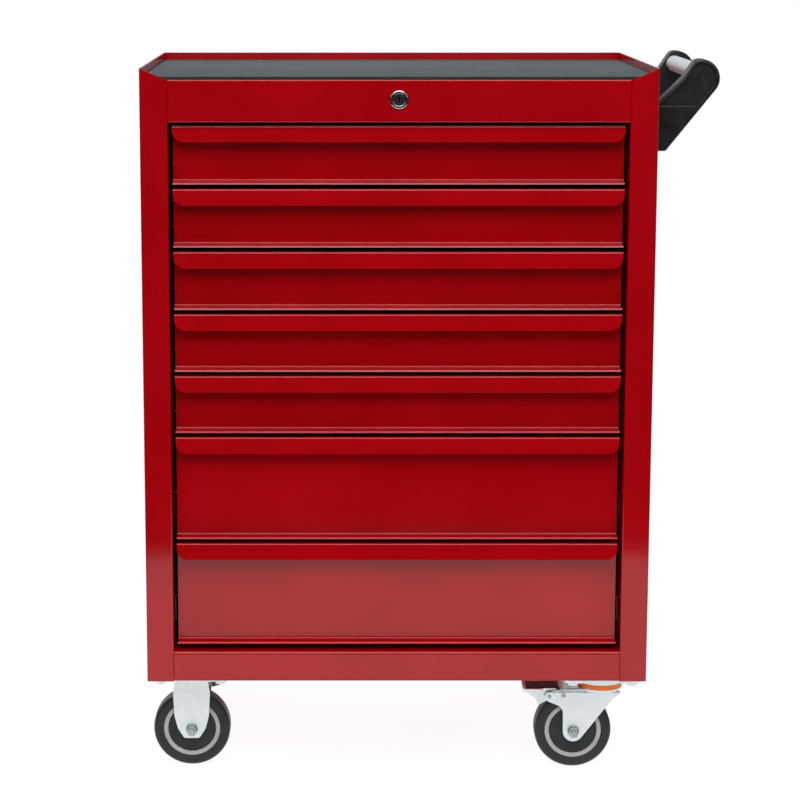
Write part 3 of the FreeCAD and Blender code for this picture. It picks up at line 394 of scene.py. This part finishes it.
def dress_cad_nodes():
    """Every CAD node that stays in view."""
    dress(RED_NODES, "red", width=0.2 * MM)
    dress(SLIDE_NODES, "slide", width=0.2 * MM)
    dress(ZINC_NODES, "zinc", width=0.5 * MM)
    dress(FASTENER_NODES, "fastener", width=0.4 * MM)
    dress(["lock_bezel"], "chrome", width=0.3 * MM)
    dress(["lock_barrel"], "lock", width=0.3 * MM)
    dress(BRACKET_NODES, "bracket", width=1.3 * MM, segments=3)
    dress(["handle_tube"], "tube", width=0.4 * MM)
    dress(SEAL_NODES, "seal", width=1.2 * MM, segments=3)
    dress(PEDAL_NODES, "zinc", width=0.5 * MM)


# ---------------------------------------------------------------- new pieces

def mesh_piece(name, points, faces, finish, body, smooth=True):
    """A mesh object that rides on a body and wears one material."""
    mesh = bpy.data.meshes.new(name)
    mesh.from_pydata(points, [], faces)
    shape = bmesh.new()
    shape.from_mesh(mesh)
    bmesh.ops.recalc_face_normals(shape, faces=shape.faces)
    shape.to_mesh(mesh)
    shape.free()
    for face in mesh.polygons:
        face.use_smooth = smooth
    mesh.materials.append(MATERIALS[finish])
    piece = bpy.data.objects.new(name, mesh)
    bpy.context.scene.collection.objects.link(piece)
    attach(piece, body)
    return piece


def arc(centre_r, centre_y, radius, start, end, steps):
    """Points on an arc of a turned profile, as (radius from the axle, place along it)."""
    points = []
    for step in range(steps + 1):
        angle = math.radians(start + (end - start) * step / steps)
        points.append((centre_r + radius * math.cos(angle), centre_y + radius * math.sin(angle)))
    return points


def split_edges(piece, degrees):
    """Keeps edges sharper than that angle crisp under smooth shading."""
    split = piece.modifiers.new("edges", "EDGE_SPLIT")
    split.split_angle = math.radians(degrees)


def turned(name, profile, centre, finish, body):
    """A closed profile of (radius, place along Y) turned round an axle along Y."""
    turns = 128
    count = len(profile)
    points = []
    faces = []
    for step in range(turns):
        angle = 2 * math.pi * step / turns
        for radius, along in profile:
            points.append(centre + Vector((radius * math.cos(angle), along, radius * math.sin(angle))))
        ring = step * count
        next_ring = (step + 1) % turns * count
        for index in range(count):
            after = (index + 1) % count
            faces.append((ring + index, ring + after, next_ring + after, next_ring + index))
    piece = mesh_piece(name, points, faces, finish, body)
    split_edges(piece, 35)
    return piece


def mirror_profile(half):
    """Closes half a profile, drawn from the axle's middle outwards on +Y, with its mirror image."""
    return half + [(radius, -along) for radius, along in reversed(half)]


def build_tyre(place, centre, rim, outer, half_width):
    """A tyre with round shoulders and a small step at the rim."""
    profile = [(rim, half_width - STEP), (rim + STEP, half_width)]
    profile += arc(outer - SHOULDER, half_width - SHOULDER, SHOULDER, start=90, end=0, steps=10)
    tyre = turned(
        place + "_tyre_rubber", mirror_profile(profile), centre, "tyre", place + "_wheel"
    )
    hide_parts(place + "_tyre")


def build_rim_ring(place, centre, disc, rim, face):
    """The grey ring between the tyre and the centre disc."""
    profile = [(disc, face - RING_STEP), (disc, face - STEP), (disc + STEP, face)]
    profile += [(rim - STEP, face), (rim, face - STEP)]
    ring = turned(
        place + "_rim_ring", mirror_profile(profile), centre, "ring", place + "_wheel"
    )
    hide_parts(place + "_core")


def build_centre_disc(place, centre, disc, face, hub_end):
    """The sunk disc and the hub round the axle."""
    sunk = face - DISC_SUNK
    foot = sunk - STEP
    profile = [(HUB_BORE, hub_end), (HUB_RADIUS - STEP, hub_end), (HUB_RADIUS, hub_end - STEP)]
    profile += [(HUB_RADIUS, foot), (HUB_RADIUS + HUB_GROOVE, foot)]
    profile += [(disc - DISC_EDGE, sunk), (disc - STEP, sunk), (disc, foot)]
    turned(
        place + "_centre_disc", mirror_profile(profile), centre, "disc", place + "_wheel"
    )


def build_wheel(place):
    """Tyre, rim ring and centre disc of one wheel."""
    tyre_low, tyre_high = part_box(place + "_tyre")
    core_low, core_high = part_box(place + "_core")
    centre = (tyre_low + tyre_high) / 2
    outer = (tyre_high.x - tyre_low.x) / 2
    half_width = (tyre_high.y - tyre_low.y) / 2
    rim = (core_high.x - core_low.x) / 2
    hub_end = (core_high.y - core_low.y) / 2
    disc = rim - RING_WIDTH
    face = half_width - FACE_SUNK
    build_tyre(place, centre, rim, outer, half_width)
    build_rim_ring(place, centre, disc, rim, face)
    build_centre_disc(place, centre, disc, face, hub_end)


def build_block(name, low, high, finish, body):
    """A plain block between two corners."""
    corners = (low, high)
    points = [Vector((x.x, y.y, z.z)) for z in corners for y in corners for x in corners]
    faces = [(0, 1, 3, 2), (4, 5, 7, 6), (0, 1, 5, 4), (2, 3, 7, 6), (0, 2, 6, 4), (1, 3, 7, 5)]
    mesh_piece(name, points, faces, finish, body, smooth=False)


def closed_grid(row_count, columns):
    """Faces of a ribbed sheet: its top grid, its underside and its two end caps."""
    width = columns + 1
    faces = []
    for row in range(row_count - 1):
        for column in range(columns):
            corner = row * width + column
            faces.append((corner, corner + 1, corner + 1 + width, corner + width))
    last = (row_count - 1) * width
    for column in range(columns):
        faces.append((column, last + column, last + column + 1, column + 1))
    for end in (0, columns):
        faces.append([row * width + end for row in range(row_count)])
    return faces


def build_mat():
    """The top mat: a grey face with fine ribs running front to back, on a near-black block whose front
    shows as a dark band, partly painted shade.
    """
    low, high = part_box("top_mat")
    edge_block_top = high.z - MAT_FACE
    edge_block_corner = Vector((high.x, high.y, edge_block_top))
    # Painted shade, in part: the block's near-black front is the dark band along the mat's front edge.
    build_block("mat_edge_and_shade_block", low, edge_block_corner, "mat_edge_and_shade_block", "cabinet")
    base = edge_block_top - high.z
    rows = [
        (low.y, base),
        (low.y, -MAT_ROUNDING),
        (low.y + MAT_ROUNDING, 0.0),
        (high.y - MAT_ROUNDING, 0.0),
        (high.y, -MAT_ROUNDING),
        (high.y, base),
    ]
    columns = int((high.x - low.x) / MAT_PITCH) * POINTS_PER_MAT_RIB
    points = []
    for y, drop in rows:
        for column in range(columns + 1):
            x = low.x + (high.x - low.x) * (column / columns)
            swell = 0.5 + 0.5 * math.cos(2 * math.pi * column / POINTS_PER_MAT_RIB)
            groove = MAT_RIB * swell**2 if drop > -MAT_ROUNDING else 0.0
            points.append(Vector((x, y, high.z + drop - groove)))
    faces = closed_grid(len(rows), columns)
    mat = mesh_piece("ribbed_top_mat", points, faces, "mat", "cabinet")
    split_edges(mat, 50)
    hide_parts("top_mat")


def build_pedal_pad(place):
    """Ribbed dark tread on a brake pedal's toe end; its far part is painted shade between the pedal
    and the fork.
    """
    low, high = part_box(place + "_pedal")
    start = low.x + PAD_START
    length = PAD_END_INTO_SHADE - PAD_START
    middle = (low.y + high.y) / 2
    top = high.z + PAD_RISE
    base = high.z - PAD_SUNK
    edge = top - PAD_ROUNDING
    half = PAD_HALF_WIDTH
    inner = half - PAD_ROUNDING
    columns = PAD_RIBS * POINTS_PER_PAD_RIB
    rows = ((-half, base), (-half, edge), (-inner, None), (inner, None), (half, edge), (half, base))
    points = []
    for y, level in rows:
        for column in range(columns + 1):
            x = start + length * column / columns
            swell = 0.5 + 0.5 * math.cos(2 * math.pi * column / POINTS_PER_PAD_RIB)
            z = top - PAD_GROOVE * swell if level is None else level
            if column in (0, columns):
                z = min(z, edge)
            points.append(Vector((x, middle + y, z)))
    faces = closed_grid(len(rows), columns)
    name = place + "_pedal_pad_and_shade"
    mesh_piece(name, points, faces, "pedal", place + "_pedal", smooth=False)


def build_brake_screw(place):
    """The small upright adjusting screw in front of a swivel fork's arm."""
    low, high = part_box(place + "_fork")
    pin_low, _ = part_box(place + "_pins")
    x = pin_low.x + SCREW_FROM_PIN
    y = low.y - SCREW_BEFORE_FORK
    points = []
    for radius, height in SCREW_RINGS:
        for side in range(SCREW_SIDES):
            angle = 2 * math.pi * side / SCREW_SIDES
            across = radius * MM * math.cos(angle)
            along = radius * MM * math.sin(angle)
            points.append(Vector((x + across, y + along, high.z + height * MM)))
    faces = [tuple(range(SCREW_SIDES)), tuple(range(len(points) - SCREW_SIDES, len(points)))]
    for ring in range(len(SCREW_RINGS) - 1):
        first = ring * SCREW_SIDES
        above = first + SCREW_SIDES
        for side in range(SCREW_SIDES):
            after = (side + 1) % SCREW_SIDES
            faces.append((first + side, first + after, above + after, above + side))
    name = place + "_brake_screw"
    mesh_piece(name, points, faces, "fastener", place + "_fork", smooth=False)


# ---------------------------------------------------------------- stage

def build_floor():
    """A round pale floor, lit softly from within so that it stays even."""
    radius = 1.5
    sides = 96
    points = []
    for side in range(sides):
        angle = 2 * math.pi * side / sides
        points.append((radius * math.cos(angle), radius * math.sin(angle), 0))
    mesh = bpy.data.meshes.new("studio_floor")
    mesh.from_pydata(points, [], [tuple(range(sides))])
    floor = bpy.data.objects.new("studio_floor", mesh)
    bpy.context.scene.collection.objects.link(floor)
    material, tree, shader = new_material("pale_floor")
    shader.inputs["Base Color"].default_value = (0.12, 0.12, 0.12, 1)
    shader.inputs["Roughness"].default_value = 0.9
    shader.inputs["Emission Color"].default_value = (1, 1, 1, 1)
    shader.inputs["Emission Strength"].default_value = 0.93
    mesh.materials.append(material)


def background(tree, colour, strength):
    """A background of one colour."""
    node = tree.nodes.new("ShaderNodeBackground")
    node.inputs["Color"].default_value = (*colour, 1)
    node.inputs["Strength"].default_value = strength
    return node


def mix_shaders(tree, share, first, second):
    """The first shader node where the share is 0, the second where it is 1."""
    node = tree.nodes.new("ShaderNodeMixShader")
    tree.links.new(share, node.inputs["Fac"])
    tree.links.new(first.outputs[0], node.inputs[1])
    tree.links.new(second.outputs[0], node.inputs[2])
    return node


def build_world():
    """White to the camera, a dim studio as light, and a bright backdrop in reflections."""
    world = bpy.data.worlds.new("studio")
    bpy.context.scene.world = world
    world.use_nodes = True
    tree = world.node_tree
    tree.nodes.clear()
    output = tree.nodes.new("ShaderNodeOutputWorld")
    seen = background(tree, (1, 1, 1), 1.0)
    dim = background(tree, (0.9, 0.95, 1.0), 0.04)
    backdrop = background(tree, (1, 1, 1), 1.0)
    coords = tree.nodes.new("ShaderNodeTexCoord")
    parts = tree.nodes.new("ShaderNodeSeparateXYZ")
    tree.links.new(coords.outputs["Generated"], parts.inputs["Vector"])
    brightness = remap(tree, parts.outputs["Y"], low=0.02, high=0.6, start=0.0, end=0.5)
    tree.links.new(brightness, backdrop.inputs["Strength"])
    path = tree.nodes.new("ShaderNodeLightPath")
    mirrored = mix_shaders(tree, path.outputs["Is Glossy Ray"], dim, backdrop)
    mixed = mix_shaders(tree, path.outputs["Is Camera Ray"], mirrored, seen)
    tree.links.new(mixed.outputs[0], output.inputs["Surface"])


def softbox(name, place, width, height, watts):
    """A rectangular light that faces the cabinet's middle."""
    light = bpy.data.lights.new(name, "AREA")
    light.shape = "RECTANGLE"
    light.size = width
    light.size_y = height
    light.energy = watts
    lamp = bpy.data.objects.new(name, light)
    bpy.context.scene.collection.objects.link(lamp)
    lamp.location = place
    lamp.rotation_mode = "QUATERNION"
    lamp.rotation_quaternion = (LIT_POINT - Vector(place)).to_track_quat("-Z", "Y")


def build_lights():
    """A high front key, an overhead box, two weak front boxes and two rear ones."""
    softbox("key_box", (0, -2.6, 3.3), width=3.6, height=2.6, watts=112)
    softbox("overhead_box", (0, 0.2, 3.2), width=2.0, height=2.0, watts=22)
    softbox("front_left_box", (-2.4, -3.4, 2.4), width=1.8, height=1.8, watts=12)
    softbox("front_right_box", (2.6, -3.2, 2.2), width=1.8, height=1.8, watts=10)
    softbox("rear_left_box", (-2.6, 2.8, 2.2), width=1.8, height=1.8, watts=45)
    softbox("rear_right_box", (2.6, 2.8, 2.2), width=1.8, height=1.8, watts=45)


def build_camera():
    """Slightly above the top, left of the cabinet's middle, looking a little down."""
    top_low, top_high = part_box("top_panel")
    middle_x = (top_low.x + top_high.x) / 2
    camera_data = bpy.data.cameras.new("camera")
    camera_data.lens = CAMERA_LENS
    camera_data.shift_x = CAMERA_SHIFT_X
    camera_data.shift_y = CAMERA_SHIFT_Y
    camera_data.clip_start = 0.05
    camera_data.clip_end = 100
    camera = bpy.data.objects.new("camera", camera_data)
    camera.location = (middle_x - CAMERA_LEFT, top_low.y - CAMERA_AWAY, CAMERA_HEIGHT)
    camera.rotation_euler = (math.radians(90 - CAMERA_DOWN), 0, 0)
    bpy.context.scene.collection.objects.link(camera)
    bpy.context.scene.camera = camera


dress_cad_nodes()
build_mat()
for wheel in WHEELS:
    build_wheel(wheel)
for end in ("front_right", "rear_right"):
    build_pedal_pad(end)
    build_brake_screw(end)
build_floor()
build_world()
build_lights()
build_camera()
bpy.context.scene.view_settings.view_transform = "Standard"
